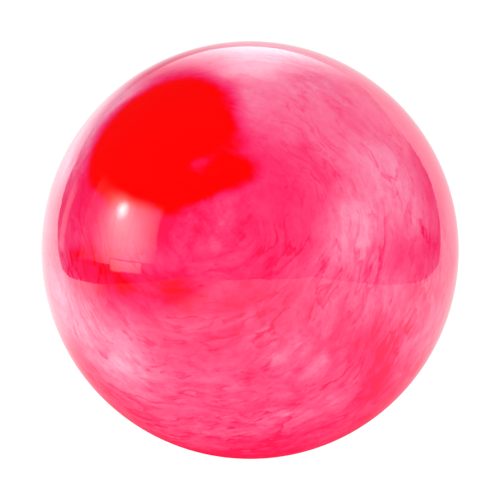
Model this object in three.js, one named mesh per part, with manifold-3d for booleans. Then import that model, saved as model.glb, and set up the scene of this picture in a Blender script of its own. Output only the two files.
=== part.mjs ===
// A drilled ten-pin bowling ball: a three-piece cast ball with its grip fitted.
// Units are millimetres. The origin is the ball's centre and +Z is up. The front, -Y, is the middle
// of the grip, with the two finger holes above it and the thumb hole below it. Everything is
// symmetrical about the YZ plane.

import * as THREE from "three";
import { mergeVertices } from "three/addons/utils/BufferGeometryUtils.js";
import Module from "manifold-3d";

const wasm = await Module();
wasm.setup();

// ---- Driving dimensions ----

// The ball and its two cast layers.
const BALL_RADIUS = 108.5;
const COVER_THICKNESS = 19;
const BOND_GAP = 0.3; // left between every two bonded pieces
const REST_SPOT_RADIUS = 4; // the small flat that the ball stands on, and its twin on top

// The grip, measured over the surface between the edges of the drilled holes.
const SPAN = 95.25; // thumb hole to finger holes
const BRIDGE = 6.35; // between the two finger holes

// Pitch: how far a hole's axis passes from the ball's centre.
const FINGER_PITCH_ACROSS = 9.5; // apart from each other, so that the two holes hardly converge
const FINGER_PITCH_AWAY = 3.2; // away from the palm
const THUMB_PITCH_AWAY = 6.35;

// Finger inserts: moulded tubes with a thicker pad on the side that the fingertips lift against.
const INSERT_RADIUS = 12.3;
const INSERT_LENGTH = 31.75;
const INSERT_BORE_RADIUS = 10.2;
const INSERT_PAD_OFFSET = 0.7; // how far the bore sits off centre, away from the pad
const FINGER_HOLE_DEPTH = 38;

// Thumb slug: a solid rod glued in, then drilled.
const SLUG_RADIUS = 15.875;
const SLUG_DEPTH = 60;
const THUMB_BORE_RADIUS = 12.4;
const THUMB_BORE_DEPTH = 54;

const BEVEL = 1.6; // the mouths of the bores open by this much, over the same depth

// The weight block's locating pin, and the mark at the centre of gravity.
const PIN_RADIUS = 6.35;
const PIN_ABOVE_FINGERS = 66; // over the surface, from the middle of the two finger holes
const CG_MARK_RADIUS = 2.5;
const CG_MARK_DEPTH = 1.6;
const CG_MARK_UP = 14; // over the surface, from the middle of the grip

// The light-bulb weight block, along the pin's axis from the ball's centre.
const BULB_RADIUS = 42;
const BULB_CENTRE = -12;
const BULB_FOOT_RADIUS = 16;
const SHOULDER_ANGLE = 140; // degrees round the bulb from its foot to where the stem leaves it
const WAIST_RADIUS = 21;
const WAIST_HEIGHT = 33;
const CAP_RADIUS = 26;
const CAP_HEIGHT = 54;
const BLOCK_TOP = 72;
const BLOCK_TOP_RADIUS = 13;

// How finely round shapes are faceted.
const BALL_SIDES = 40;
const BALL_ARC_STEPS = 20;
const BLOCK_SIDES = 24;
const BULB_ARC_STEPS = 10;
const STEM_STEPS = 8;
const BORE_SIDES = 24;
const PIN_SIDES = 16;

const CORE_RADIUS = BALL_RADIUS - COVER_THICKNESS;
const BEYOND = 4; // how far a cutter runs past the surface that it cuts

// ---- Solids ----

// A closed geometry as a manifold-3d solid.
function solidOf(geometry) {
  const bare = geometry.clone();
  bare.deleteAttribute("normal");
  bare.deleteAttribute("uv");
  const merged = mergeVertices(bare, 1e-3);
  return new wasm.Manifold(
    new wasm.Mesh({
      numProp: 3,
      vertProperties: new Float32Array(merged.attributes.position.array),
      triVerts: new Uint32Array(merged.index.array),
    }),
  );
}

function geometryOf(solid) {
  const mesh = solid.getMesh();
  const geometry = new THREE.BufferGeometry();
  geometry.setAttribute("position", new THREE.BufferAttribute(mesh.vertProperties, 3));
  geometry.setIndex(new THREE.BufferAttribute(mesh.triVerts, 1));
  const flat = geometry.toNonIndexed();
  flat.computeVertexNormals();
  return flat;
}

// A profile of [radius, height] points turned about the axis that leaves a point along a direction.
function turned(profile, sides, axis) {
  const points = profile.map(([radius, height]) => new THREE.Vector2(radius, height));
  const geometry = new THREE.LatheGeometry(points, sides);
  const turn = new THREE.Quaternion().setFromUnitVectors(new THREE.Vector3(0, 1, 0), axis.out);
  return solidOf(geometry.applyQuaternion(turn).translate(...axis.from.toArray()));
}

const UP = new THREE.Vector3(0, 0, 1);
const CENTRE = new THREE.Vector3(0, 0, 0);

// A ball whose two poles are small flats.
function ball(radius) {
  const first = Math.asin(REST_SPOT_RADIUS / radius);
  const profile = [[0, -radius * Math.cos(first)]];
  for (let i = 0; i <= BALL_ARC_STEPS; i++) {
    const angle = first + (i / BALL_ARC_STEPS) * (Math.PI - 2 * first);
    profile.push([radius * Math.sin(angle), -radius * Math.cos(angle)]);
  }
  profile.push([0, radius * Math.cos(first)]);
  return turned(profile, BALL_SIDES, { from: CENTRE, out: UP });
}

// A rod between two depths below the ball's surface, measured down a hole's axis.
function rod(hole, radius, deep, shallow, sides = BORE_SIDES) {
  return turned([[0, -deep], [radius, -deep], [radius, -shallow], [0, -shallow]], sides, hole);
}

// The bevel where a bore meets the ball's surface.
function bevel(hole, boreRadius) {
  const wide = boreRadius + BEVEL + BEYOND;
  const profile = [[0, -BEVEL], [boreRadius, -BEVEL], [wide, BEYOND], [0, BEYOND]];
  return turned(profile, BORE_SIDES, hole);
}

// ---- Where things are on the ball ----

// The unit direction reached from the front, -Y, by going up and then to the right over the surface.
function towards(up, right) {
  const elevation = up / BALL_RADIUS;
  const azimuth = right / (BALL_RADIUS * Math.cos(elevation));
  return new THREE.Vector3(
    Math.cos(elevation) * Math.sin(azimuth),
    -Math.cos(elevation) * Math.cos(azimuth),
    Math.sin(elevation),
  );
}

// A hole's mouth and the direction out of it. The pitches tilt its foot away from the palm and from
// the YZ plane.
function holeAt(up, right = 0, pitchAway = 0, pitchAcross = 0) {
  const radial = towards(up, right);
  const away = UP.clone().addScaledVector(radial, -UP.dot(radial));
  away.normalize().multiplyScalar(Math.sign(up));
  const aim = new THREE.Vector3(Math.sign(right) * pitchAcross, 0, 0);
  aim.addScaledVector(away, pitchAway);
  const from = radial.multiplyScalar(BALL_RADIUS);
  return { from, out: from.clone().sub(aim).normalize(), away };
}

const holeUp = (SPAN + INSERT_RADIUS + SLUG_RADIUS) / 2;
const fingerRight = BRIDGE / 2 + INSERT_RADIUS;
const FINGER_HOLES = {
  middle_finger_insert: holeAt(holeUp, -fingerRight, FINGER_PITCH_AWAY, FINGER_PITCH_ACROSS),
  ring_finger_insert: holeAt(holeUp, fingerRight, FINGER_PITCH_AWAY, FINGER_PITCH_ACROSS),
};
const THUMB_HOLE = holeAt(-holeUp, 0, THUMB_PITCH_AWAY);
const PIN_HOLE = holeAt(holeUp + PIN_ABOVE_FINGERS);
const CG_MARK_HOLE = holeAt(CG_MARK_UP);
const BLOCK_AXIS = { from: CENTRE, out: PIN_HOLE.out };

// ---- The pieces ----

// A light bulb: a round body on a small flat foot, a waist, and a rounded cap under the pin.
function weightBlockProfile(margin) {
  const bulb = BULB_RADIUS + margin;
  const first = Math.asin((BULB_FOOT_RADIUS + margin) / bulb);
  const last = THREE.MathUtils.degToRad(SHOULDER_ANGLE);
  const profile = [[0, BULB_CENTRE - bulb * Math.cos(first)]];
  for (let i = 0; i <= BULB_ARC_STEPS; i++) {
    const angle = first + (i / BULB_ARC_STEPS) * (last - first);
    profile.push([bulb * Math.sin(angle), BULB_CENTRE - bulb * Math.cos(angle)]);
  }
  const stem = new THREE.SplineCurve([
    new THREE.Vector2(WAIST_RADIUS + margin, WAIST_HEIGHT),
    new THREE.Vector2(CAP_RADIUS + margin, CAP_HEIGHT),
    new THREE.Vector2(BLOCK_TOP_RADIUS + margin, BLOCK_TOP + margin),
  ]);
  stem.getPoints(STEM_STEPS).forEach((p) => profile.push([p.x, p.y]));
  profile.push([0, BLOCK_TOP + margin]);
  return profile;
}

const wholeBall = ball(BALL_RADIUS);

const drilledHoles = [
  ...Object.values(FINGER_HOLES).map((hole) =>
    rod(hole, INSERT_RADIUS + BOND_GAP, FINGER_HOLE_DEPTH, -BEYOND),
  ),
  rod(THUMB_HOLE, SLUG_RADIUS + BOND_GAP, SLUG_DEPTH + BOND_GAP, -BEYOND),
  rod(PIN_HOLE, PIN_RADIUS + BOND_GAP, BALL_RADIUS - BLOCK_TOP, -BEYOND, PIN_SIDES),
];

function drilled(solid) {
  return drilledHoles.reduce((left, hole) => left.subtract(hole), solid);
}

function coverstock() {
  const markSeat = rod(
    CG_MARK_HOLE,
    CG_MARK_RADIUS + BOND_GAP,
    CG_MARK_DEPTH + BOND_GAP,
    -BEYOND,
    PIN_SIDES,
  );
  return drilled(wholeBall.subtract(ball(CORE_RADIUS))).subtract(markSeat);
}

function outerCore() {
  const blockSeat = turned(weightBlockProfile(BOND_GAP), BLOCK_SIDES, BLOCK_AXIS);
  return drilled(ball(CORE_RADIUS - BOND_GAP)).subtract(blockSeat);
}

function weightBlock() {
  return turned(weightBlockProfile(0), BLOCK_SIDES, BLOCK_AXIS);
}

function corePin() {
  const length = BALL_RADIUS - BLOCK_TOP - BOND_GAP;
  return rod(PIN_HOLE, PIN_RADIUS, length, -BEYOND, PIN_SIDES).intersect(wholeBall);
}

function cgMarker() {
  const plug = rod(CG_MARK_HOLE, CG_MARK_RADIUS, CG_MARK_DEPTH, -BEYOND, PIN_SIDES);
  return plug.intersect(wholeBall);
}

// The bore is off centre, away from the palm, which leaves the thicker pad on the palm's side.
function fingerInsert(hole) {
  const shift = hole.away.clone().multiplyScalar(INSERT_PAD_OFFSET).toArray();
  const bore = rod(hole, INSERT_BORE_RADIUS, INSERT_LENGTH + BEYOND, -BEYOND)
    .add(bevel(hole, INSERT_BORE_RADIUS))
    .translate(shift);
  return rod(hole, INSERT_RADIUS, INSERT_LENGTH, -BEYOND).intersect(wholeBall).subtract(bore);
}

function thumbSlug() {
  return rod(THUMB_HOLE, SLUG_RADIUS, SLUG_DEPTH, -BEYOND)
    .intersect(wholeBall)
    .subtract(rod(THUMB_HOLE, THUMB_BORE_RADIUS, THUMB_BORE_DEPTH, -BEYOND))
    .subtract(bevel(THUMB_HOLE, THUMB_BORE_RADIUS));
}

// ---- Materials ----

function material(color, roughness) {
  return new THREE.MeshStandardMaterial({ color, roughness, metalness: 0 });
}

const coverResin = material(0xf8406c, 0.05); // polished marbled polyester
const fillerResin = material(0xd8d2c2, 0.7); // light filler cast with hollow glass beads
const blockResin = material(0x8a6a3c, 0.6); // dense mineral-filled resin
const pinResin = material(0xf4e7a0, 0.2);
const insertVinyl = material(0x1c1c20, 0.45);
const slugUrethane = material(0x26262c, 0.35);
const markPaint = material(0xfaf4f0, 0.4);

// ---- The assembly ----

const part = new THREE.Group();

function addPiece(name, solid, look) {
  const mesh = new THREE.Mesh(geometryOf(solid), look);
  mesh.name = name;
  part.add(mesh);
}

addPiece("coverstock", coverstock(), coverResin);
addPiece("outer_core", outerCore(), fillerResin);
addPiece("weight_block", weightBlock(), blockResin);
addPiece("core_pin", corePin(), pinResin);
addPiece("cg_marker", cgMarker(), markPaint);
for (const [name, hole] of Object.entries(FINGER_HOLES)) {
  addPiece(name, fingerInsert(hole), insertVinyl);
}
addPiece("thumb_slug", thumbSlug(), slugUrethane);

export default part;
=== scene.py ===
"""A drilled bowling ball in marbled red and pink resin, on a white studio floor.

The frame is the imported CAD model. Each of its eight faceted pieces is replaced here by a smooth one
whose size and place are measured on it. Directions on the ball are given in degrees: longitude 0
faces +Y, the side without the grip, and grows towards -X; latitude is the height over the equator.
"""
import math

import bmesh
import bpy
import numpy as np
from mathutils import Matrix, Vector

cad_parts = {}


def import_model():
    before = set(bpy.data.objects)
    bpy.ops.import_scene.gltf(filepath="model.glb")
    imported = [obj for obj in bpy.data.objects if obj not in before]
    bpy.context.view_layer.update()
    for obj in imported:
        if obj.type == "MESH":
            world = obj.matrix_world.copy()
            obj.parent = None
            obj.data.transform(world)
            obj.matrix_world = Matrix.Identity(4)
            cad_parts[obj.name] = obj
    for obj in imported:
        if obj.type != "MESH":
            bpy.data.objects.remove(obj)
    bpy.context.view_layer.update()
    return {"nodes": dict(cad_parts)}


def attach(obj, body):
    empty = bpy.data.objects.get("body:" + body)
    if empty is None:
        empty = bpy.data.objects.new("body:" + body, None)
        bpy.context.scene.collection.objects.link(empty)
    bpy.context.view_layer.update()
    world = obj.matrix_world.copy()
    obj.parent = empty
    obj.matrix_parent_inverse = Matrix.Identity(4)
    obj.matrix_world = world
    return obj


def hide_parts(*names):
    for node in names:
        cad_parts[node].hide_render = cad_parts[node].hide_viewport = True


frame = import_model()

MM = 0.001

# ---- Sizes, in metres ----

BOND_LINE = 0.08 * MM  # between the cast layers, and round the pin and the mark
GLUE_LINE = 0.15 * MM  # round the inserts and the slug
HOLE_EASE = 0.5 * MM  # rounding of the drilled holes' edges in the cover
INSERT_EASE = 1.0 * MM  # rounding of the inserts' mouths
SLUG_EASE = 2.0 * MM  # rounding of the thumb hole's mouth
RIM_EASE = 0.2 * MM  # rounding of the pieces' outer rims
FINGER_HOLE_SPARE = 6.25 * MM  # how far the finger holes run on past the inserts
PIN_HOLE_SPARE = 0.5 * MM  # opens the pin's hole into the weight block's seat
DRILL_POINT = 2.5 * MM  # depth of the cone at the foot of a drilled bore
BEYOND = 4 * MM  # how far a cutter runs past the skin
WALL_TOP = 6 * MM  # a depth below the lowest point of every mouth's edge
WALL_STEP = 3 * MM  # about how far apart a straight wall's rings are

# Ridges moulded across the pad that the fingertips lift against.
RIDGE_COUNT = 7
RIDGE_PITCH = 2.2 * MM
RIDGE_HEIGHT = 0.4 * MM
RIDGE_START = 5 * MM
RIDGE_STEPS = 8  # rings to each ridge
PAD_EDGE = 0.25  # cosine of the angle off the pad's middle at which the ridges begin
PAD_FULL = 0.65  # and at which they have their full height

BORE_SIDES = 128
PIN_SIDES = 64
BLOCK_SIDES = 128
EASE_STEPS = 6
PLUG_RINGS = 4  # rings across a flush end
PROFILE_STEPS = 5  # points between every two of the weight block's CAD rings
SKIN_DETAIL = 7  # icosphere subdivisions
CORE_DETAIL = 6

SAME = 0.01 * MM  # lengths closer than this count as equal
WELD = 0.02 * MM  # corners closer than this are joined after a cut
CREASE = 35  # degrees between two faces that are shaded with an edge between them


# ---- Measuring the CAD nodes ----

def unit(vector):
    vector = np.array(vector, float)
    return vector / np.linalg.norm(vector)


def node_points(node):
    """The distinct corners of a CAD node."""
    corners = [v.co[:] for v in frame["nodes"][node].data.vertices]
    return np.unique(np.round(corners, 7), axis=0)


def ball_radius(node):
    return float(np.linalg.norm(node_points(node), axis=1).max())


BALL_RADIUS = ball_radius("coverstock")
CORE_RADIUS = ball_radius("outer_core")


class Rod:
    """A straight round piece that runs into the ball, measured on its CAD node."""

    def __init__(self, node):
        mesh = frame["nodes"][node].data
        foot_face = min(mesh.polygons, key=lambda face: face.center.length)
        self.out = -unit(foot_face.normal)
        self.across = unit(np.cross(self.out, (1, 0, 0)))
        self.side = np.cross(self.out, self.across)
        self.points = node_points(node)
        outer, inner = self.rings_above(-math.inf)
        centre, self.radius = self.circle(outer)
        self.depth = self.rise_to_skin(centre)
        self.mouth = centre + self.depth * self.out
        if len(inner) > 2:
            bore_centre, self.bore_radius = self.circle(inner)
            self.shift = bore_centre - centre

    def rings_above(self, height):
        """The corners at the first level over a height, split into the outer and inner ones."""
        heights = self.points @ self.out
        level = heights[heights > height].min()
        points = self.points[abs(heights - level) < SAME]
        reach = np.linalg.norm(points - points.mean(axis=0), axis=1)
        limit = (reach.min() + reach.max()) / 2 - SAME
        return points[reach >= limit], points[reach < limit]

    @staticmethod
    def circle(ring):
        """Centre and radius of a ring, as its corners' averages. They are right only where the corners are
        spread evenly. Those of the finger inserts' bores are not, and the centres found for them are
        0.22 mm (middle finger) and 0.51 mm (ring finger) off."""
        centre = ring.mean(axis=0)
        return centre, float(np.linalg.norm(ring - centre, axis=1).mean())

    def measure_blind_bore(self):
        """Adds the radius and depth of a bore that ends on a flat floor inside the piece."""
        foot_height = self.mouth @ self.out - self.depth
        floor, _ = self.rings_above(foot_height + SAME)
        centre, self.bore_radius = self.circle(floor)
        self.bore_depth = float((self.mouth - centre) @ self.out)

    def rise_to_skin(self, start):
        """The distance from a point to the ball's skin along the axis."""
        along = start @ self.out
        return -along + math.sqrt(along**2 - start @ start + BALL_RADIUS**2)

    def at_depth(self, depth):
        return self.mouth - depth * self.out

    def spoke(self, angle):
        return math.cos(angle) * self.across + math.sin(angle) * self.side

    def flat_ring(self, sides, radius, depth, shift=0.0):
        """A ring square to the axis, below the middle of the mouth."""
        angles = [2 * math.pi * k / sides for k in range(sides)]
        return [self.at_depth(depth) + shift + radius * self.spoke(a) for a in angles]

    def wall(self, sides, radius, foot, shift=0.0):
        """Rings up a straight wall from its foot, ending short of where the skin slopes over it."""
        count = max(1, round((foot - WALL_TOP) / WALL_STEP))
        depths = [foot + k * (WALL_TOP - foot) / count for k in range(count)]
        return [self.flat_ring(sides, radius, depth, shift) for depth in depths]

    def skin_ring(self, sides, radius, depth, shift=0.0):
        """A ring whose points all lie at one depth below the skin, straight down the axis."""
        ring = []
        for point in self.flat_ring(sides, radius, 0.0, shift):
            ring.append(point + (self.rise_to_skin(point) - depth) * self.out)
        return ring


def ease(size):
    """Points (back from the side, down from the top) of a quarter round, from its top to its side."""
    angles = [math.pi / 2 * k / EASE_STEPS for k in range(EASE_STEPS + 1)]
    return [(size * (1 - math.sin(a)), size * (1 - math.cos(a))) for a in angles]


# ---- Mesh helpers ----

def object_of(name, mesh):
    piece = bpy.data.objects.new(name, mesh)
    bpy.context.scene.collection.objects.link(piece)
    return piece


def loft(name, rings, first=None, last=None):
    """A closed mesh through rings of points. Its two ends close on a centre point each, or, where
    no centres are given, on each other."""
    sides = len(rings[0])
    points = [point for ring in rings for point in ring]
    faces = []
    pairs = list(zip(range(len(rings) - 1), range(1, len(rings))))
    if first is None:
        pairs.append((len(rings) - 1, 0))
    for low, high in pairs:
        for k in range(sides):
            after = (k + 1) % sides
            faces.append((low * sides + k, low * sides + after, high * sides + after, high * sides + k))
    if first is not None:
        for ring, centre in ((0, first), (len(rings) - 1, last)):
            for k in range(sides):
                faces.append((ring * sides + (k + 1) % sides, ring * sides + k, len(points)))
            points.append(centre)
    mesh = bpy.data.meshes.new(name)
    mesh.from_pydata([tuple(point) for point in points], [], faces)
    shaped = bmesh.new()
    shaped.from_mesh(mesh)
    bmesh.ops.recalc_face_normals(shaped, faces=shaped.faces)
    shaped.to_mesh(mesh)
    shaped.free()
    return object_of(name, mesh)


def sphere(name, radius, detail):
    shaped = bmesh.new()
    bmesh.ops.create_icosphere(shaped, subdivisions=detail, radius=radius)
    mesh = bpy.data.meshes.new(name)
    shaped.to_mesh(mesh)
    shaped.free()
    return object_of(name, mesh)


def cut(piece, tools):
    """Takes the tools out of a piece, and joins the corners that the cuts leave all but touching."""
    for tool in tools:
        difference = piece.modifiers.new(tool.name, "BOOLEAN")
        difference.operation = "DIFFERENCE"
        difference.solver = "MANIFOLD"
        difference.object = tool
    shown = piece.evaluated_get(bpy.context.evaluated_depsgraph_get())
    cut_mesh = bpy.data.meshes.new_from_object(shown)
    piece.modifiers.clear()
    piece.data = cut_mesh
    shaped = bmesh.new()
    shaped.from_mesh(cut_mesh)
    bmesh.ops.dissolve_degenerate(shaped, edges=shaped.edges, dist=WELD)
    bmesh.ops.triangulate(shaped, faces=[face for face in shaped.faces if len(face.verts) > 4])
    shaped.to_mesh(cut_mesh)
    shaped.free()


def discard(pieces):
    for piece in pieces:
        bpy.data.objects.remove(piece)


def shade(piece):
    """Smooth shading with creases at the sharp edges."""
    piece.data.shade_smooth()
    piece.data.set_sharp_from_angle(angle=math.radians(CREASE))


def shade_on_spheres(piece, radii):
    """Shades the faces that lie on spheres round the origin as exactly spherical."""
    mesh = piece.data
    reach = np.array([v.co.length for v in mesh.vertices])
    normals = np.zeros((len(mesh.loops), 3))
    for face in mesh.polygons:
        for radius in radii:
            if all(abs(reach[v] - radius) < SAME for v in face.vertices):
                facing = math.copysign(1.0, face.normal.dot(face.center))
                for corner, vertex in zip(face.loop_indices, face.vertices):
                    normals[corner] = facing * mesh.vertices[vertex].co.normalized()
    mesh.normals_split_custom_set(normals.tolist())


# ---- The rods' shapes ----

def cutter(name, rod, sides, gap, extra_depth=0.0):
    """A hole's solid, with the rounding of its edge, from its foot to beyond the skin."""
    radius = rod.radius + gap
    foot = rod.depth + extra_depth + gap
    rings = rod.wall(sides, radius, foot)
    rounding = ease(HOLE_EASE)[:0:-1]  # without its last point, which would only touch the skin
    for back, down in rounding:
        rings.append(rod.skin_ring(sides, radius + back, down))
    brim = radius + rounding[-1][0]
    rings.append(rod.skin_ring(sides, brim, -BEYOND))
    return loft(name, rings, rod.at_depth(foot), rod.at_depth(-BEYOND))


def outer_wall(rod, sides):
    """Rings from the foot of a rod up its side and over its eased rim."""
    rings = rod.wall(sides, rod.radius, rod.depth)
    for back, down in reversed(ease(RIM_EASE)):
        rings.append(rod.skin_ring(sides, rod.radius - back, down))
    return rings


def plug(name, rod, sides):
    """A rod that ends flush in the skin."""
    rings = outer_wall(rod, sides)
    for k in reversed(range(1, PLUG_RINGS)):
        rings.append(rod.skin_ring(sides, k / PLUG_RINGS * rod.radius, 0.0))
    return loft(name, rings, rod.at_depth(rod.depth), rod.mouth)


def smooth(x):
    x = min(max(x, 0.0), 1.0)
    return x * x * (3 - 2 * x)


def ridged_ring(rod, depth):
    """A ring of a finger insert's bore, raised into a ridge where the depth says so."""
    turns = (depth - RIDGE_START) / RIDGE_PITCH
    rise = RIDGE_HEIGHT * (1 - math.cos(2 * math.pi * turns)) / 2 if 0 < turns < RIDGE_COUNT else 0.0
    centre = rod.at_depth(depth) + rod.shift
    towards_pad = -unit(rod.shift)
    ring = []
    for point in rod.flat_ring(BORE_SIDES, rod.bore_radius, depth, rod.shift):
        spoke = unit(point - centre)
        share = smooth((spoke @ towards_pad - PAD_EDGE) / (PAD_FULL - PAD_EDGE))
        ring.append(point - rise * share * spoke)
    return ring


def finger_insert(name, rod):
    """A tube with a thick ridged pad. Its profile closes on itself."""
    rings = outer_wall(rod, BORE_SIDES)
    for back, down in ease(INSERT_EASE):
        rings.append(rod.skin_ring(BORE_SIDES, rod.bore_radius + back, down, rod.shift))
    for k in range(RIDGE_COUNT * RIDGE_STEPS + 1):
        rings.append(ridged_ring(rod, RIDGE_START + k * RIDGE_PITCH / RIDGE_STEPS))
    rings.append(rod.flat_ring(BORE_SIDES, rod.bore_radius, rod.depth, rod.shift))
    return loft(name, rings)


def thumb_slug(name, rod):
    """A rod with a blind bore, whose foot is the cone that a drill leaves."""
    rings = outer_wall(rod, BORE_SIDES)
    for back, down in ease(SLUG_EASE):
        rings.append(rod.skin_ring(BORE_SIDES, rod.bore_radius + back, down))
    rings += reversed(rod.wall(BORE_SIDES, rod.bore_radius, rod.bore_depth))
    return loft(name, rings, rod.at_depth(rod.depth), rod.at_depth(rod.bore_depth + DRILL_POINT))


def through(points, steps):
    """A smooth row of points through the given ones (Catmull-Rom)."""
    points = [np.array(point) for point in points]
    padded = [2 * points[0] - points[1], *points, 2 * points[-1] - points[-2]]
    row = []
    for a, b, c, d in zip(padded, padded[1:], padded[2:], padded[3:]):
        for k in range(steps):
            t = k / steps
            row.append(
                b
                + t * (c - a) / 2
                + t**2 * (2 * a - 5 * b + 4 * c - d) / 2
                + t**3 * (3 * b - a - 3 * c + d) / 2
            )
    return [*row, points[-1]]


def block_solid(name, axis, profile, margin=0.0):
    """The weight block turned about the pin's axis, grown by a margin."""
    across = unit(np.cross(axis, (1, 0, 0)))
    side = np.cross(axis, across)
    foot = profile[0][1] - margin
    top = profile[-1][1] + margin
    rings = []
    for radius, height in profile:
        height = min(max(height, foot), top)
        ring = []
        for k in range(BLOCK_SIDES):
            angle = 2 * math.pi * k / BLOCK_SIDES
            spoke = math.cos(angle) * across + math.sin(angle) * side
            ring.append(height * axis + (radius + margin) * spoke)
        rings.append(ring)
    return loft(name, rings, foot * axis, top * axis)


# ---- Materials ----

class Nodes:
    """A material's node tree, built like a sum. Most methods return the socket that they make."""

    def __init__(self, name):
        self.material = bpy.data.materials.new(name)
        self.material.use_nodes = True
        self.tree = self.material.node_tree
        self.tree.nodes.clear()

    def add(self, kind, inputs=None, **settings):
        node = self.tree.nodes.new("ShaderNode" + kind)
        for name, value in settings.items():
            setattr(node, name, value)
        for name, value in (inputs or {}).items():
            self.feed(node.inputs[name], value)
        return node

    def feed(self, socket, value):
        if isinstance(value, bpy.types.NodeSocket):
            self.tree.links.new(value, socket)
        else:
            socket.default_value = value

    def math(self, operation, a, b=0.0):
        return self.add("Math", {0: a, 1: b}, operation=operation).outputs[0]

    def vector(self, operation, a, b=(0, 0, 0)):
        node = self.add("VectorMath", {0: a, 1: b}, operation=operation)
        is_number = operation in ("DOT_PRODUCT", "LENGTH", "DISTANCE")
        return node.outputs["Value" if is_number else "Vector"]

    def scaled(self, vector, factor):
        return self.add("VectorMath", {0: vector, "Scale": factor}, operation="SCALE").outputs[0]

    def noise(self, place, scale, detail=3.0, roughness=0.5):
        """Noise between 0 and 1, as (value, colour)."""
        inputs = {"Vector": place, "Scale": scale, "Detail": detail, "Roughness": roughness}
        node = self.add("TexNoise", inputs)
        return node.outputs[0], node.outputs[1]

    def around_zero(self, value, size):
        """Noise moved from 0..1 to either side of zero."""
        return self.math("MULTIPLY", self.math("SUBTRACT", value, 0.5), 2 * size)

    def warped(self, place, scale, size, detail=2.0):
        """A place pushed about by up to a size, in a pattern of a scale."""
        _, colour = self.noise(place, scale, detail)
        push = self.vector("SUBTRACT", colour, (0.5, 0.5, 0.5))
        return self.vector("ADD", place, self.scaled(push, 2 * size))

    def step(self, value, low, high, to_low=0.0, to_high=1.0):
        """A soft step from one value to another."""
        inputs = {"Value": value, 1: low, 2: high, 3: to_low, 4: to_high}
        return self.add("MapRange", inputs, interpolation_type="SMOOTHSTEP").outputs[0]

    def mix(self, factor, a, b):
        """A mix of two colours."""
        node = self.add("Mix", {0: factor, 6: a, 7: b}, data_type="RGBA")
        return node.outputs[2]

    def ramp(self, value, stops):
        """A colour ramp through (position, linear colour) stops."""
        node = self.add("ValToRGB", {0: value})
        elements = node.color_ramp.elements
        while len(elements) < len(stops):
            elements.new(0.5)
        for element, (position, colour) in zip(elements, stops):
            element.position = position
        for element, (position, colour) in zip(elements, stops):
            element.color = colour
        return node.outputs[0]

    def place(self):
        """Where a point lies in the object's own coordinates."""
        return self.add("TexCoord").outputs["Object"]

    def place_in_radii(self):
        """The same, with the ball's radius as the unit."""
        return self.scaled(self.place(), 1 / BALL_RADIUS)

    def bump(self, height, distance, strength=1.0):
        inputs = {"Height": height, "Distance": distance, "Strength": strength}
        return self.add("Bump", inputs).outputs[0]

    def principled(self, inputs):
        shader = self.add("BsdfPrincipled", inputs)
        output = self.add("OutputMaterial")
        self.tree.links.new(shader.outputs[0], output.inputs["Surface"])
        return self.material


def linear(red, green, blue):
    """A linear colour from the usual 0 to 255 screen values."""
    values = [v / 255 for v in (red, green, blue)]
    return (*(v / 12.92 if v <= 0.04045 else ((v + 0.055) / 1.055) ** 2.4 for v in values), 1.0)


def direction(longitude, latitude):
    """The unit vector towards a place on the ball."""
    lon = math.radians(longitude)
    lat = math.radians(latitude)
    return Vector((-math.sin(lon) * math.cos(lat), math.cos(lon) * math.cos(lat), math.sin(lat)))


MIDDLE = (0.3, 0.7)  # the part of a noise's range that most of it lies in

# How much red pigment there is, and the colour that it gives.
PIGMENT_COLOURS = [
    (0.0, linear(252, 195, 222)),
    (0.12, linear(252, 150, 182)),
    (0.25, linear(252, 114, 154)),
    (0.38, linear(252, 84, 132)),
    (0.50, linear(252, 61, 116)),
    (0.62, linear(252, 42, 103)),
    (0.72, linear(252, 24, 84)),
    (0.82, linear(254, 8, 46)),
    (0.92, linear(255, 0, 10)),
    (1.0, linear(255, 0, 0)),
]

# Clouds of more or less pigment: from, to (longitude, latitude), radius and softness in ball radii,
# and how much pigment they add. Only the lobes reach the deepest red.
LOBES = [
    # The side away from the grip: the big lobe, its bulges, its hook with the tip, the web between
    # them, and two small lobes below.
    ((-39, 37), (-27, 45), 0.23, 0.10, 0.66),
    ((-36, 26), (-27, 28), 0.10, 0.12, 0.50),
    ((-13, 39), (-9, 36), 0.085, 0.09, 0.43),
    ((-6, 26), (-22, 22), 0.05, 0.07, 0.58),
    ((-1, 27.5), (-4, 27), 0.035, 0.07, 0.24),
    ((-22, 26.5), (-8, 30), 0.005, 0.06, 0.06),
    ((-50, 0), (-38, -2), 0.07, 0.09, 0.30),
    ((-31, -3), (-17, -4), 0.05, 0.08, 0.22),
    # The sides and the side with the grip.
    ((112, 38), (140, 52), 0.22, 0.20, 0.36),
    ((96, -12), (118, -30), 0.16, 0.20, 0.22),
    ((-150, -8), (-128, -34), 0.20, 0.22, 0.34),
    ((-108, 44), (-96, 20), 0.16, 0.22, 0.22),
    ((172, -62), (150, -48), 0.18, 0.20, 0.26),
    ((-170, 8), (168, 22), 0.10, 0.12, 0.20),
]
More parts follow.
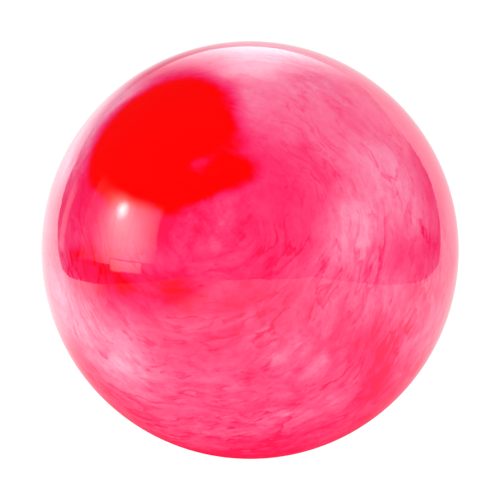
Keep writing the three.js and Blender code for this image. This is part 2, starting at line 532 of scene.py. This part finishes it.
CLOUDS = [
    # Deeper bands on the side away from the grip.
    ((-50, 22), (-34, 14), 0.15, 0.20, 0.22),
    ((-22, 12), (-14, 14), 0.06, 0.12, 0.20),
    ((-16, 0), (8, -4), 0.06, 0.12, 0.16),
    ((4, 27), (8, 11), 0.14, 0.20, 0.16),
    ((44, 5), (51, 3), 0.06, 0.12, 0.15),
    ((35, -18), (45, -36), 0.07, 0.10, 0.18),
    ((15, 34), (21, 26), 0.03, 0.05, 0.10),
    ((14, -62), (47, -52), 0.22, 0.26, 0.09),
    # Paler clouds on the same side.
    ((-68, 46), (-66, 30), 0.15, 0.14, -0.32),
    ((-3, 49), (-2, 50), 0.05, 0.08, -0.05),
    ((10, 55), (38, 34), 0.28, 0.30, -0.17),
    ((26, 11), (27, 12), 0.10, 0.14, -0.18),
    ((40, 26), (47, 16), 0.10, 0.16, -0.12),
    ((14, 0), (48, 4), 0.16, 0.20, -0.10),
    ((-58, -11), (-42, -21), 0.14, 0.18, -0.30),
    ((-32, -32), (-32, -33), 0.14, 0.20, -0.08),
    ((-22, -24), (-10, -29), 0.08, 0.14, -0.06),
    ((8, -19), (16, -20), 0.06, 0.12, -0.15),
    ((-12, -40), (6, -42), 0.10, 0.16, -0.10),
    ((-29, 70), (26, 64), 0.16, 0.20, -0.10),
    ((60, -18), (61, -16), 0.16, 0.20, -0.12),
    # The sides and the side with the grip.
    ((150, -6), (164, -20), 0.16, 0.18, -0.20),
    ((-158, 34), (-140, 24), 0.20, 0.22, -0.20),
    ((-86, -32), (-104, -14), 0.18, 0.22, -0.18),
    ((80, 62), (40, 84), 0.16, 0.20, -0.14),
    ((-120, -66), (-60, -74), 0.18, 0.20, 0.20),
]
CLOUD_WARPS = [(2.2, 0.06), (7.0, 0.03, 3.0)]  # scale, size and detail of their wandering edges
BASE_PIGMENT = 0.46
MOST_OUTSIDE_LOBES = 0.72  # the pigment's limit before the lobes are added

# The streaks run round this axis, drawn out and twisted by the pour. Close to the axis the fine lines
# give way to mottling, because they would close into rings there.
SWIRL_AXIS = direction(-14, 16)
SWIRL_WARP = (1.6, 0.10)
SWIRL_TWIST = 0.7  # radians of twist for each radian away from the axis
SWIRL_HEART = 0.35  # how far the mottling reaches from the axis, in ball radii

# The streaks' outward coordinate rises between two angles off the axis, in radians, and slows down
# towards both, so that it stands still at the axis's far end.
SWIRL_FROM = -0.6
SWIRL_TO = 2.4
SWIRL_RISE = 3.0

# Streaks of three sizes: how far their noise is drawn out, its warping (scale, size, detail), the noise
# (scale, detail, roughness), and how much pigment they add or take away.
STREAKS = [
    {"stretch": 1.8, "warp": None, "noise": (1.5, 2.0, 0.5), "pigment": 0.13},
    {"stretch": 1.8, "warp": (3.0, 0.12), "noise": (3.4, 3.0, 0.6), "pigment": 0.16},
    {"stretch": 1.4, "warp": (6.0, 0.18, 5.0), "noise": (6.0, 5.0, 0.66), "pigment": 0.30},
]
PALE_SHARE = 0.75  # the strength of the pale streaks beside that of the dark ones
MOTTLING = {"warp": (5.0, 0.10), "noise": (7.5, 6.0, 0.72), "pigment": 0.50}
GRAIN = {"noise": (18.0, 8.0, 0.8), "pigment": 0.14}

# Fine lines in clusters. Each kind runs along some levels of one noise, and shows where a second one,
# its mask, is high. The offsets keep the noises apart. A one-sided line fades out on one side only.
LINES = {
    "folds": {
        "pigment": 0.17,
        "stretch": 2.0,
        "offset": 12.0,
        "warp": (6.0, 0.08, 4.0),
        "noise": (1.8, 3.0),
        "levels": 8.0,
        "width": 0.5,
        "one_sided": True,
        "mask_offset": 4.0,
        "mask_scale": 2.8,
        "mask_step": (0.46, 0.58),
    },
    "dark_threads": {
        "pigment": 0.24,
        "stretch": 2.2,
        "offset": 5.0,
        "warp": (9.0, 0.09, 5.0),
        "noise": (3.0, 2.0),
        "levels": 5.0,
        "width": 0.16,
        "one_sided": False,
        "mask_offset": 2.0,
        "mask_scale": 5.5,
        "mask_step": (0.52, 0.62),
    },
    "pale_threads": {
        "pigment": -0.12,
        "stretch": 2.0,
        "offset": 9.0,
        "warp": (9.0, 0.10, 5.0),
        "noise": (3.0, 2.0),
        "levels": 2.0,
        "width": 0.08,
        "one_sided": False,
        "mask_offset": 7.0,
        "mask_scale": 4.5,
        "mask_step": (0.56, 0.66),
    },
}

# The streaks and lines are weaker high on the ball and round a calm place on it. Both steps are from,
# to (in ball radii), and the strength at each.
LOW_TO_HIGH = (-0.6, 0.75, 1.5, 0.4)
CALM_PLACE = direction(-32, -22)
OUT_OF_CALM = (0.15, 0.7, 0.62, 1.0)

POLISH = (0.015, 0.06)  # the polished skin's roughness where it is clearest and where it is haziest


def cloud(nodes, place, start, end, radius, softness, amount):
    """Pigment in a soft capsule between two places."""
    a = direction(*start)
    b = direction(*end)
    offset = nodes.vector("SUBTRACT", place, a)
    if start != end:
        along = nodes.vector("DOT_PRODUCT", offset, (b - a) / (b - a).length_squared)
        along = nodes.math("MAXIMUM", nodes.math("MINIMUM", along, 1.0), 0.0)
        offset = nodes.vector("SUBTRACT", offset, nodes.scaled(b - a, along))
    distance = nodes.vector("LENGTH", offset)
    return nodes.step(distance, radius - softness / 2, radius + softness, amount, 0.0)


class Swirl:
    """Coordinates for streaks that run round the swirl's axis."""

    def __init__(self, nodes, place):
        self.nodes = nodes
        first = SWIRL_AXIS.orthogonal().normalized()
        second = SWIRL_AXIS.cross(first)
        x, y, z = (nodes.vector("DOT_PRODUCT", place, side) for side in (first, second, SWIRL_AXIS))
        polar = nodes.math("ARCCOSINE", nodes.math("MINIMUM", nodes.math("MAXIMUM", z, -1.0), 1.0))
        flat = nodes.add("CombineXYZ", {0: x, 1: y, 2: 0.0}).outputs[0]
        angle = nodes.math("MULTIPLY", polar, SWIRL_TWIST)
        turned = nodes.add("VectorRotate", {"Vector": flat, "Angle": angle}, rotation_type="Z_AXIS")
        self.around = turned.outputs[0]
        rise = nodes.step(polar, SWIRL_FROM, SWIRL_TO, 0.0, SWIRL_RISE)
        self.outwards = nodes.add("CombineXYZ", {0: 0.0, 1: 0.0, 2: rise}).outputs[0]
        self.off_axis = nodes.step(nodes.vector("LENGTH", flat), 0.0, SWIRL_HEART)

    def drawn_out(self, stretch, offset=0.0):
        """Coordinates that change a number of times faster across the streaks than along them."""
        moved = self.nodes.vector("ADD", self.around, (offset, offset, offset))
        return self.nodes.vector("ADD", moved, self.nodes.scaled(self.outwards, stretch))


def streaks(nodes, swirl):
    """Streaks of all sizes, the pale ones a little weaker."""
    total = 0.0
    for kind in STREAKS:
        place = swirl.drawn_out(kind["stretch"])
        if kind["warp"]:
            place = nodes.warped(place, *kind["warp"])
        noise, _ = nodes.noise(place, *kind["noise"])
        total = nodes.math("ADD", total, nodes.around_zero(noise, kind["pigment"]))
    return nodes.math("MAXIMUM", total, nodes.math("MULTIPLY", total, PALE_SHARE))


def fine_lines(nodes, swirl, kind):
    """Lines of one kind, between 0 and 1."""
    place = nodes.warped(swirl.drawn_out(kind["stretch"], kind["offset"]), *kind["warp"])
    field, _ = nodes.noise(place, *kind["noise"])
    level = nodes.math("FRACT", nodes.math("MULTIPLY", field, kind["levels"]))
    if not kind["one_sided"]:
        level = nodes.math("ABSOLUTE", nodes.math("SUBTRACT", level, 0.5))
    line = nodes.step(level, 0.0, kind["width"], 1.0, 0.0)
    mask_place = swirl.drawn_out(1.0, kind["mask_offset"])
    mask, _ = nodes.noise(mask_place, kind["mask_scale"], 3.0, 0.6)
    return nodes.math("MULTIPLY", line, nodes.step(mask, *kind["mask_step"]))


def pigment_of(nodes, place):
    """How much pigment the resin has at a place: clouds, streaks, mottling, grain, lines and lobes."""
    cloud_place = place
    for warp in CLOUD_WARPS:
        cloud_place = nodes.warped(cloud_place, *warp)
    swirl = Swirl(nodes, nodes.warped(place, *SWIRL_WARP))
    height = nodes.vector("DOT_PRODUCT", place, (0.0, 0.0, 1.0))
    strength = nodes.step(height, *LOW_TO_HIGH)
    from_calm = nodes.vector("DISTANCE", place, CALM_PLACE)
    strength = nodes.math("MULTIPLY", strength, nodes.step(from_calm, *OUT_OF_CALM))

    layers = [cloud(nodes, cloud_place, *shape) for shape in CLOUDS]
    layers.append(nodes.math("MULTIPLY", streaks(nodes, swirl), strength))
    mottling, _ = nodes.noise(nodes.warped(place, *MOTTLING["warp"]), *MOTTLING["noise"])
    mottling = nodes.around_zero(mottling, MOTTLING["pigment"])
    near_axis = nodes.math("SUBTRACT", 1.0, swirl.off_axis)
    layers.append(nodes.math("MULTIPLY", mottling, near_axis))
    grain, _ = nodes.noise(place, *GRAIN["noise"])
    layers.append(nodes.around_zero(grain, GRAIN["pigment"]))
    line_strength = nodes.math("MULTIPLY", strength, swirl.off_axis)
    for kind in LINES.values():
        lines = nodes.math("MULTIPLY", fine_lines(nodes, swirl, kind), line_strength)
        layers.append(nodes.math("MULTIPLY", lines, kind["pigment"]))

    pigment = BASE_PIGMENT
    for layer in layers:
        pigment = nodes.math("ADD", layer, pigment)
    pigment = nodes.math("MINIMUM", pigment, MOST_OUTSIDE_LOBES)
    for shape in LOBES:
        pigment = nodes.math("ADD", cloud(nodes, cloud_place, *shape), pigment)
    return pigment


def marbled_resin():
    """Marbled resin, polished: slow waves from the polishing wheel, and a little haze."""
    nodes = Nodes("marbled_resin")
    place = nodes.place_in_radii()
    haze, _ = nodes.noise(place, 14.0, 5.0, 0.6)
    waves, _ = nodes.noise(place, 5.0, 2.0)
    return nodes.principled({
        "Base Color": nodes.ramp(pigment_of(nodes, place), PIGMENT_COLOURS),
        "Roughness": nodes.step(haze, 0.2, 0.9, *POLISH),
        "IOR": 1.5,
        "Normal": nodes.bump(waves, 0.5 * MM, 0.25),
    })


def mottled(name, dark, light, scale, roughness, bump=0.0, bump_scale=200.0, **fixed):
    """A moulded or cast material: two shades clouded together, a roughness that varies between two
    values, and a finely uneven surface."""
    nodes = Nodes(name)
    place = nodes.place_in_radii()
    tone, _ = nodes.noise(place, scale, 6.0, 0.6)
    patch, _ = nodes.noise(place, scale / 3, 3.0)
    inputs = {
        "Base Color": nodes.mix(nodes.step(tone, *MIDDLE), dark, light),
        "Roughness": nodes.step(patch, *MIDDLE, *roughness),
        **fixed,
    }
    if bump:
        grain, _ = nodes.noise(place, bump_scale, 4.0, 0.6)
        inputs["Normal"] = nodes.bump(grain, bump)
    return nodes.principled(inputs)


def filler_resin():
    """Filler cast with hollow glass beads, which show as pale specks and small pits."""
    nodes = Nodes("filler_resin")
    place = nodes.place_in_radii()
    beads = nodes.add("TexVoronoi", {"Vector": place, "Scale": 70.0}).outputs["Distance"]
    tone, _ = nodes.noise(place, 5.0, 5.0, 0.6)
    base = nodes.mix(nodes.step(tone, *MIDDLE), linear(206, 198, 178), linear(226, 220, 204))
    speck = nodes.step(beads, 0.12, 0.3, 1.0, 0.0)
    return nodes.principled({
        "Base Color": nodes.mix(speck, base, linear(244, 241, 234)),
        "Roughness": nodes.step(tone, *MIDDLE, 0.62, 0.78),
        "Normal": nodes.bump(beads, 0.15 * MM),
    })


def slug_urethane(out):
    """Turned black urethane: fine rings from the drill, square to the bore's axis."""
    nodes = Nodes("slug_urethane")
    place = nodes.place()
    depth = nodes.vector("DOT_PRODUCT", place, Vector(out))
    along_bore = nodes.add("CombineXYZ", {0: 0.0, 1: 0.0, 2: depth}).outputs[0]
    tool_marks, _ = nodes.noise(along_bore, 1 / (0.7 * MM), 3.0)
    tone, _ = nodes.noise(place, 1 / (9 * MM), 5.0, 0.6)
    return nodes.principled({
        "Base Color": nodes.mix(nodes.step(tone, *MIDDLE), linear(30, 30, 36), linear(46, 46, 54)),
        "Roughness": nodes.step(tone, *MIDDLE, 0.26, 0.38),
        "Normal": nodes.bump(tool_marks, 0.08 * MM),
    })


def block_resin():
    """Brown resin filled with heavy mineral powder."""
    return mottled(
        "block_resin",
        linear(112, 78, 40),
        linear(146, 108, 62),
        scale=7.0,
        roughness=(0.5, 0.66),
        bump=0.12 * MM,
    )


def pin_resin():
    """Clear yellow resin, polished with the cover."""
    return mottled(
        "pin_resin",
        linear(236, 214, 120),
        linear(248, 232, 160),
        scale=22.0,
        roughness=(0.04, 0.12),
        IOR=1.5,
    )


def mark_paint():
    """Nearly white paint, rubbed a little dull."""
    return mottled(
        "mark_paint",
        linear(244, 238, 232),
        linear(252, 248, 244),
        scale=40.0,
        roughness=(0.2, 0.34),
        bump=0.02 * MM,
    )


def insert_vinyl():
    """Soft black vinyl with a fine moulded grain."""
    return mottled(
        "insert_vinyl",
        linear(26, 26, 30),
        linear(36, 36, 41),
        scale=16.0,
        roughness=(0.38, 0.5),
        bump=0.05 * MM,
        bump_scale=260.0,
    )


# ---- The pieces ----

def finish_piece(piece, node, material, radii=(BALL_RADIUS,)):
    """Shades a piece, gives it its material, and puts it in its CAD node's place. The radii are those
    of the spheres that its faces lie on."""
    shade(piece)
    if radii:
        shade_on_spheres(piece, radii)
    piece.data.materials.clear()
    piece.data.materials.append(material)
    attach(piece, "root")
    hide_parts(node)


def block_outline(axis):
    """The weight block's profile, (radius, height) up the pin's axis, from its CAD node."""
    reach_at = {}
    for point in node_points("weight_block"):
        height = float(point @ axis)
        level = next((known for known in reach_at if abs(known - height) < SAME), height)
        reach = float(np.linalg.norm(point - height * axis))
        reach_at[level] = max(reach, reach_at.get(level, 0.0))
    return through([(reach_at[height], height) for height in sorted(reach_at)], PROFILE_STEPS)


pin = Rod("core_pin")
mark = Rod("cg_marker")
thumb = Rod("thumb_slug")
thumb.measure_blind_bore()
fingers = {node: Rod(node) for node in ("middle_finger_insert", "ring_finger_insert")}
block_profile = block_outline(pin.out)

# What is cut out of the cast layers.
cutters = [
    cutter("pin_hole", pin, PIN_SIDES, BOND_LINE, PIN_HOLE_SPARE),
    cutter("thumb_hole", thumb, BORE_SIDES, GLUE_LINE),
]
for node, rod in fingers.items():
    cutters.append(cutter(node + "_hole", rod, BORE_SIDES, GLUE_LINE, FINGER_HOLE_SPARE))
mark_seat = cutter("mark_seat", mark, PIN_SIDES, BOND_LINE)
block_seat = block_solid("block_seat", pin.out, block_profile, BOND_LINE)
inner_radius = CORE_RADIUS + BOND_LINE
cover_inside = sphere("cover_inside", inner_radius, CORE_DETAIL)

cover = sphere("marbled_cover", BALL_RADIUS, SKIN_DETAIL)
cut(cover, [cover_inside, mark_seat, *cutters])
finish_piece(cover, "coverstock", marbled_resin(), (BALL_RADIUS, inner_radius))

core = sphere("filler_core", CORE_RADIUS, CORE_DETAIL)
cut(core, [block_seat, *cutters])
finish_piece(core, "outer_core", filler_resin(), (CORE_RADIUS,))
discard([cover_inside, mark_seat, block_seat, *cutters])

block = block_solid("mineral_weight_block", pin.out, block_profile)
finish_piece(block, "weight_block", block_resin(), ())

locating_pin = plug("locating_pin", pin, PIN_SIDES)
finish_piece(locating_pin, "core_pin", pin_resin())

balance_mark = plug("balance_mark", mark, PIN_SIDES)
finish_piece(balance_mark, "cg_marker", mark_paint())

vinyl = insert_vinyl()
for node, rod in fingers.items():
    grip = finger_insert(node.replace("_insert", "_grip"), rod)
    finish_piece(grip, node, vinyl)

thumb_sleeve = thumb_slug("thumb_sleeve", thumb)
finish_piece(thumb_sleeve, "thumb_slug", slug_urethane(thumb.out))


# ---- The studio ----

WHITE = (1.0, 1.0, 1.0, 1.0)
FLOOR_RADIUS = 4.0
FLOOR_SIDES = 96
FLOOR_COLOUR = (0.1, 0.1, 0.1, 1.0)
FLOOR_GLOW = 1.02
AIR_GLOW = 1.04  # the even light all round, as diffuse surfaces get it

# The room that the polish reflects: a sweep of white paper in an unlit room, a window on one side and a
# soft light overhead. The sweep's profile is (y, z) from its front edge to its top.
SWEEP_HALF_WIDTH = 0.60
SWEEP_EDGE = 0.58  # where its uneven side edges run, before they are worn back
SWEEP_WEAR = 0.05
SWEEP_SLANT = 0.4  # how much its height falls from -X to +X, as a share of it for each metre
SWEEP_PROFILE = [
    (0.9, -BALL_RADIUS),
    (-0.1, -BALL_RADIUS),
    (-0.31, 0.0),
    (-0.48, 0.33),
]
SWEEP_STEPS = 8  # points between every two of the profile's
SWEEP_COLUMNS = 8

# The paper's light: it steps down from the side away from the window to the middle, and rises again on
# the window's side. A step is from, to, and the values there. The shades lie on the window's side, high
# up behind and in front.
PAPER_LIGHT = [(-0.45, -0.2, 1.05, 0.9), (0.05, 0.4, 0.0, 1.0)]
PAPER_SHADES = [
    {"z": (0.1, 0.28), "x": (0.0, 0.2, 0.0, 0.75)},
    {"y": (0.0, 0.15), "x": (0.14, 0.26, 0.0, 0.85)},
]
# Painted shade on the paper round the ball's foot, reddened as if by light that the ball throws back on
# it.
FOOT_SHADE_COLOUR = (1.0, 0.02, 0.07, 1.0)  # the ball's own colour on the paper at its foot
FOOT_SHADE_STEP = (0.02, 0.3)

FAR = 6.0  # distance of the window and the overhead light
GLOW_DIVISIONS = 16
# Glowing areas: longitudes, latitudes, brightness, and the soft widths of the low and high
# longitude's sides, the lower edge and the upper edge, all in degrees.
GLOWS = {
    "window_left": ((-104, -79.5), (-4.5, 27), 0.3, (2, 0.1, 0.6, 6)),
    "window_right": ((-79.5, -50), (-2, 27), 0.3, (0.1, 2, 0.6, 6)),
    "window_sill": ((-79.5, -59), (-7, -2), 0.8, (0.8, 0.8, 0.8, 0.1)),
    "curtain": ((-127, -118), (-6, 16), 0.8, (3, 3, 3, 6)),
    "overhead": ((150, 206), (20, 78), 3.0, (27, 27, 6, 22)),
    "overhead_right": ((118, 166), (20, 48), 0.6, (9, 9, 4, 10)),
    "overhead_left": ((196, 218), (16, 36), 0.3, (6, 6, 4, 6)),
}
# Where the sky shines through the window: the middle, how far it spreads, and how bright it is.
WINDOW_SPOTS = [
    ((-71, 11), 27, 5.0),
    ((-77, 18), 12, 3.0),
    ((-77, 19), 5.5, 15.0),
]


def only_reflected(piece):
    """Hides a studio piece from everything but reflections."""
    piece.visible_camera = False
    piece.visible_diffuse = False
    piece.visible_transmission = False
    piece.visible_shadow = False


def sheet_of(name, columns, rows, point):
    """A grid of faces over the unit square, with its UVs. point(u, v) gives the corners."""
    corners = [point(i / columns, j / rows) for j in range(rows + 1) for i in range(columns + 1)]
    faces = []
    for j in range(rows):
        for i in range(columns):
            low = j * (columns + 1) + i
            faces.append((low, low + 1, low + columns + 2, low + columns + 1))
    mesh = bpy.data.meshes.new(name)
    mesh.from_pydata(corners, [], faces)
    uv = mesh.uv_layers.new(name="UVMap")
    for loop in mesh.loops:
        j, i = divmod(loop.vertex_index, columns + 1)
        uv.data[loop.index].uv = (i / columns, j / rows)
    return object_of(name, mesh)


def glow_material(name, brightness, softness):
    """Light whose edges fade out over parts of the sheet, with the window's bright spots."""
    nodes = Nodes(name)
    parts = nodes.add("SeparateXYZ", {0: nodes.add("TexCoord").outputs["UV"]})
    across, up = parts.outputs[0], parts.outputs[1]
    mask = 1.0
    for place, (low, high) in ((across, softness[:2]), (up, softness[2:])):
        mask = nodes.math("MULTIPLY", mask, nodes.step(place, 0.0, low))
        mask = nodes.math("MULTIPLY", mask, nodes.step(place, 1.0 - high, 1.0, 1.0, 0.0))
    if name.startswith("window"):
        heading = nodes.scaled(nodes.place(), 1 / FAR)
        for middle, reach, peak in WINDOW_SPOTS:
            away = nodes.vector("DISTANCE", heading, direction(*middle))
            spot = nodes.step(away, 0.0, math.radians(reach), peak, 0.0)
            brightness = nodes.math("ADD", spot, brightness)
    light = nodes.add("Emission", {"Strength": brightness}).outputs[0]
    clear = nodes.add("BsdfTransparent").outputs[0]
    shown = nodes.add("MixShader", {0: mask, 1: clear, 2: light}).outputs[0]
    nodes.add("OutputMaterial", {"Surface": shown})
    return nodes.material


def glow(name, longitudes, latitudes, brightness, softness):
    """A glowing sheet far away."""
    width = longitudes[1] - longitudes[0]
    height = latitudes[1] - latitudes[0]
    parts = [soft / size for soft, size in zip(softness, (width, width, height, height))]

    def corner(u, v):
        return FAR * direction(longitudes[0] + u * width, latitudes[0] + v * height)

    sheet = sheet_of(name, GLOW_DIVISIONS, GLOW_DIVISIONS, corner)
    sheet.data.materials.append(glow_material(name, brightness, parts))
    only_reflected(sheet)


def sweep_material():
    """White paper that glows, with painted light brightest on the window's side, and painted shade in the
    ball's colour round its foot.
    """
    nodes = Nodes("sweep_paper")
    place = nodes.place()
    axes = dict(zip("xyz", nodes.add("SeparateXYZ", {0: place}).outputs))
    light = 0.0
    for step in PAPER_LIGHT:
        light = nodes.math("ADD", light, nodes.step(axes["x"], *step))
    for steps in PAPER_SHADES:
        shadow = 1.0
        for axis, step in steps.items():
            shadow = nodes.math("MULTIPLY", shadow, nodes.step(axes[axis], *step))
        light = nodes.math("MULTIPLY", light, nodes.math("SUBTRACT", 1.0, shadow))
    # Painted shade round the ball's foot: the paper's glow turns darker and redder near it.
    from_foot = nodes.vector("DISTANCE", place, (0.0, 0.0, -BALL_RADIUS))
    painted_foot_shade = nodes.mix(nodes.step(from_foot, *FOOT_SHADE_STEP), FOOT_SHADE_COLOUR, WHITE)
    paper = nodes.add("Emission", {"Color": painted_foot_shade, "Strength": light}).outputs[0]
    wear, _ = nodes.noise(place, 22.0, 4.0, 0.6)
    worn_back = nodes.math("MULTIPLY", wear, SWEEP_WEAR)
    reach = nodes.math("ADD", nodes.math("ABSOLUTE", axes["x"]), worn_back)
    inside = nodes.math("LESS_THAN", reach, SWEEP_EDGE)
    clear = nodes.add("BsdfTransparent").outputs[0]
    shown = nodes.add("MixShader", {0: inside, 1: clear, 2: paper}).outputs[0]
    nodes.add("OutputMaterial", {"Surface": shown})
    return nodes.material


def paper_sweep():
    """The paper that the ball stands on, curving up behind it."""
    line = through(SWEEP_PROFILE, SWEEP_STEPS)

    def corner(u, v):
        x = (2 * u - 1) * SWEEP_HALF_WIDTH
        y, z = line[round(v * (len(line) - 1))]
        return (x, y, -BALL_RADIUS + (z + BALL_RADIUS) * (1 - SWEEP_SLANT * x))

    sweep = sheet_of("paper_sweep", SWEEP_COLUMNS, len(line) - 1, corner)
    sweep.data.materials.append(sweep_material())
    only_reflected(sweep)


def floor():
    """A white floor, lit so evenly that only the ball's faint shade shows on it."""
    shaped = bmesh.new()
    bmesh.ops.create_circle(shaped, cap_ends=True, segments=FLOOR_SIDES, radius=FLOOR_RADIUS)
    bmesh.ops.translate(shaped, verts=shaped.verts, vec=(0, 0, -BALL_RADIUS))
    mesh = bpy.data.meshes.new("floor")
    shaped.to_mesh(mesh)
    shaped.free()
    nodes = Nodes("floor_white")
    material = nodes.principled({
        "Base Color": FLOOR_COLOUR,
        "Roughness": 1.0,
        "Specular IOR Level": 0.0,
        "Emission Color": WHITE,
        "Emission Strength": FLOOR_GLOW,
    })
    mesh.materials.append(material)
    piece = object_of("floor", mesh)
    piece.visible_glossy = False


def world():
    """White to the camera, even light to diffuse surfaces, and dark to reflections."""
    scene_world = bpy.data.worlds.new("studio_air")
    scene_world.use_nodes = True
    tree = scene_world.node_tree
    path = tree.nodes.new("ShaderNodeLightPath")
    seen = tree.nodes.new("ShaderNodeMath")
    seen.operation = "SUBTRACT"
    seen.inputs[0].default_value = AIR_GLOW
    tree.links.new(path.outputs["Is Glossy Ray"], seen.inputs[1])
    air = tree.nodes["Background"]
    air.inputs["Color"].default_value = WHITE
    tree.links.new(seen.outputs[0], air.inputs["Strength"])
    bpy.context.scene.world = scene_world


for name, shape in GLOWS.items():
    glow(name, *shape)
paper_sweep()
floor()
world()


# ---- Camera ----

CAMERA_DISTANCE = 1.0
CAMERA_LATITUDE = 8.0
BALL_SHARE = 0.836  # of the half frame that the ball's outline takes

camera = bpy.data.objects.new("camera", bpy.data.cameras.new("camera"))
bpy.context.scene.collection.objects.link(camera)
camera.location = CAMERA_DISTANCE * direction(0, CAMERA_LATITUDE)
camera.rotation_euler = (-camera.location).to_track_quat("-Z", "Y").to_euler()
outline_slope = math.tan(math.asin(BALL_RADIUS / CAMERA_DISTANCE))
camera.data.lens = camera.data.sensor_width / 2 * BALL_SHARE / outline_slope
bpy.context.scene.camera = camera
bpy.context.scene.view_settings.view_transform = "Standard"
